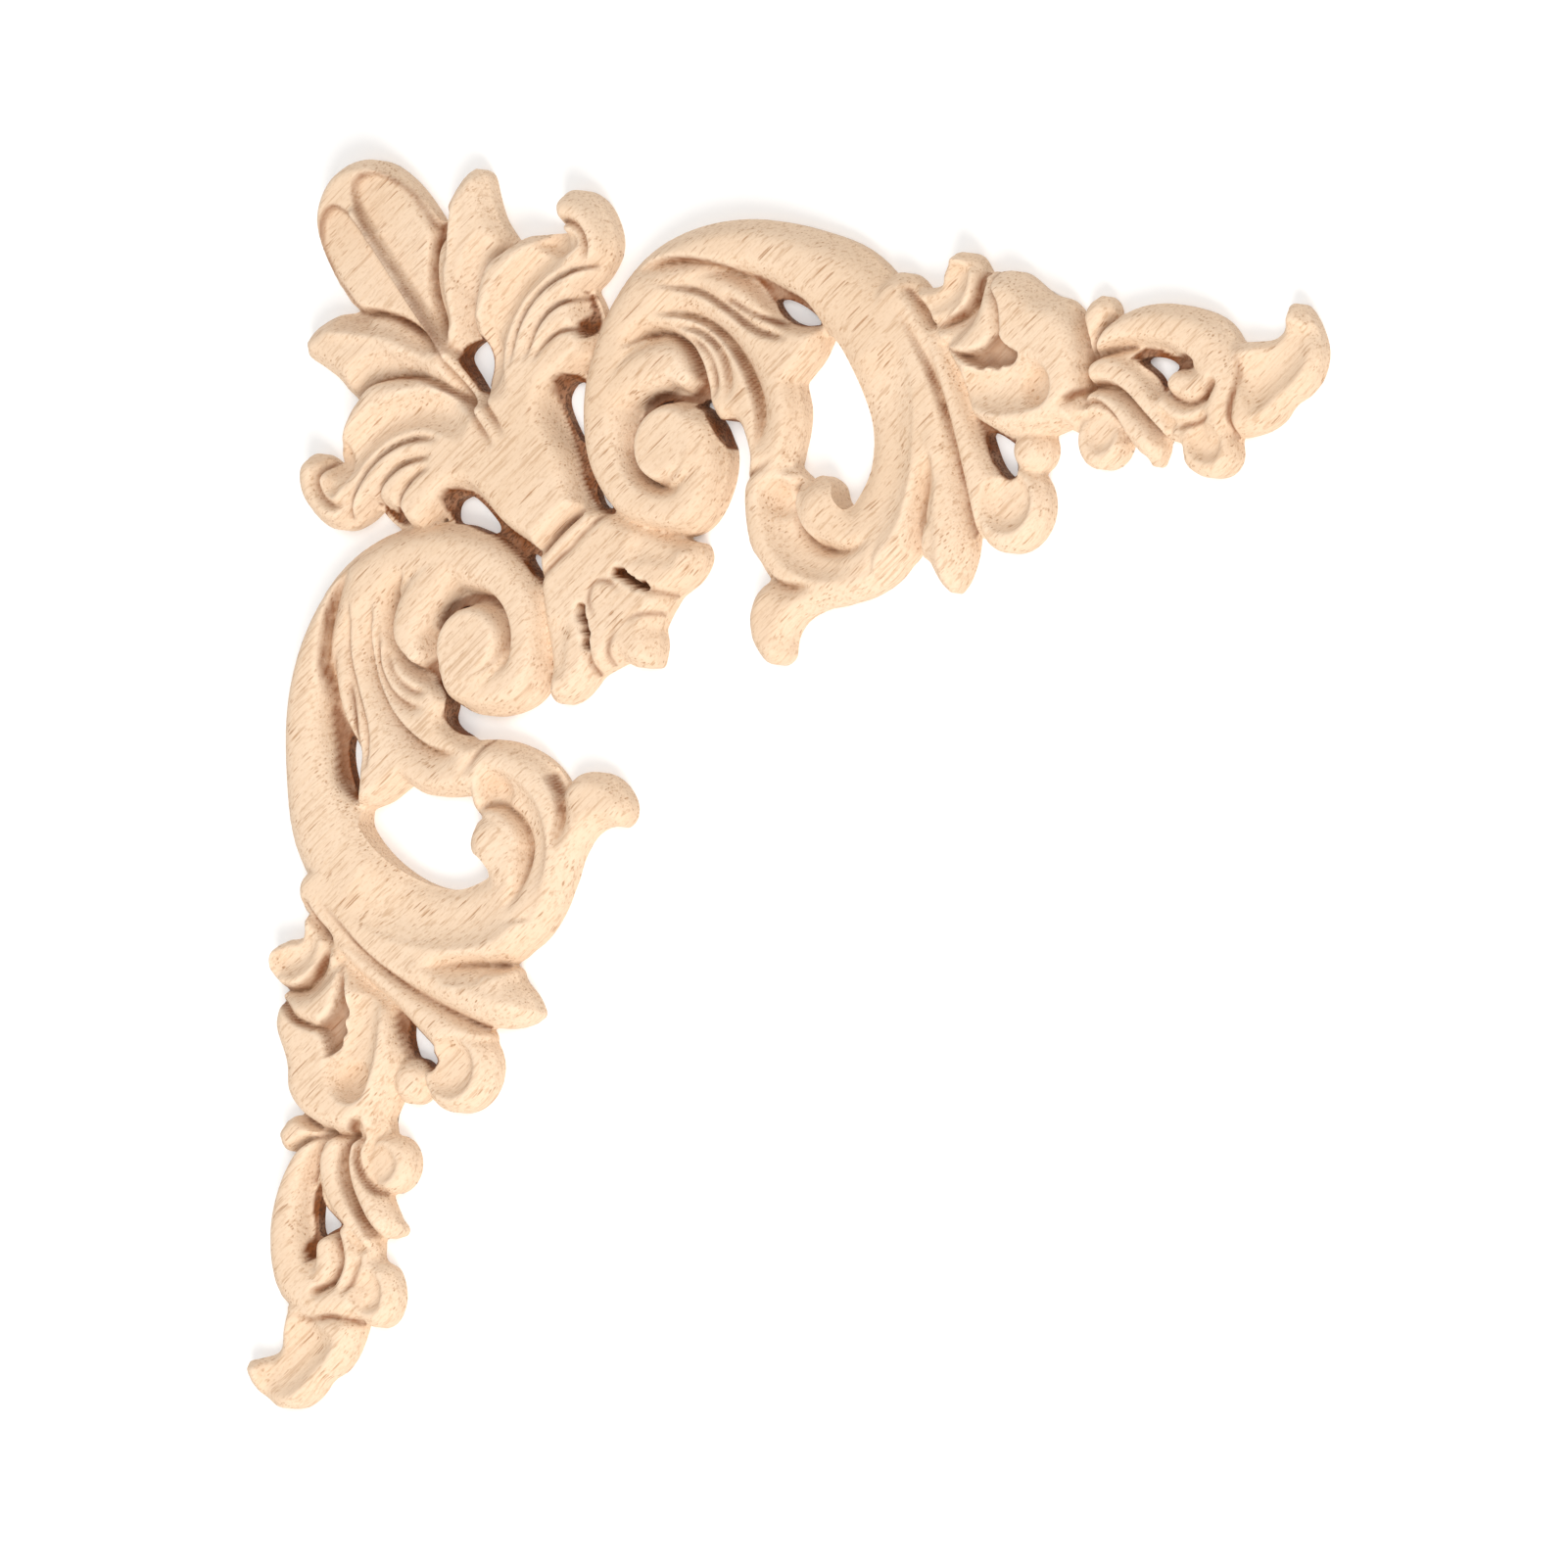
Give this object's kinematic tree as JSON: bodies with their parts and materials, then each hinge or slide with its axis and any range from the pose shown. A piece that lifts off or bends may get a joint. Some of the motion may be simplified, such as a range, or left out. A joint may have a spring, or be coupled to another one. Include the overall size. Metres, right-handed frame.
{
  "type": "carved corner onlay",
  "caption": "Flat-backed carved wood corner onlay with a palmette at the corner and two mirrored leafy scroll arms, pierced between the scrolls.",
  "frame": {"origin": "on the flat back, on the mirror line, at the neck between the trunk of the palmette and the foot husk", "axes": "+Z out of the carved face; +X along one arm and -Y along the other, so the palmette points to -X +Y"},
  "size_m": [0.1199, 0.1199, 0.0043],
  "materials": {
    "wood": "raw, finely tooled and sanded"
  },
  "bodies": {
    "root": {"corner_onlay": "wood"}
  },
  "joints": []
}
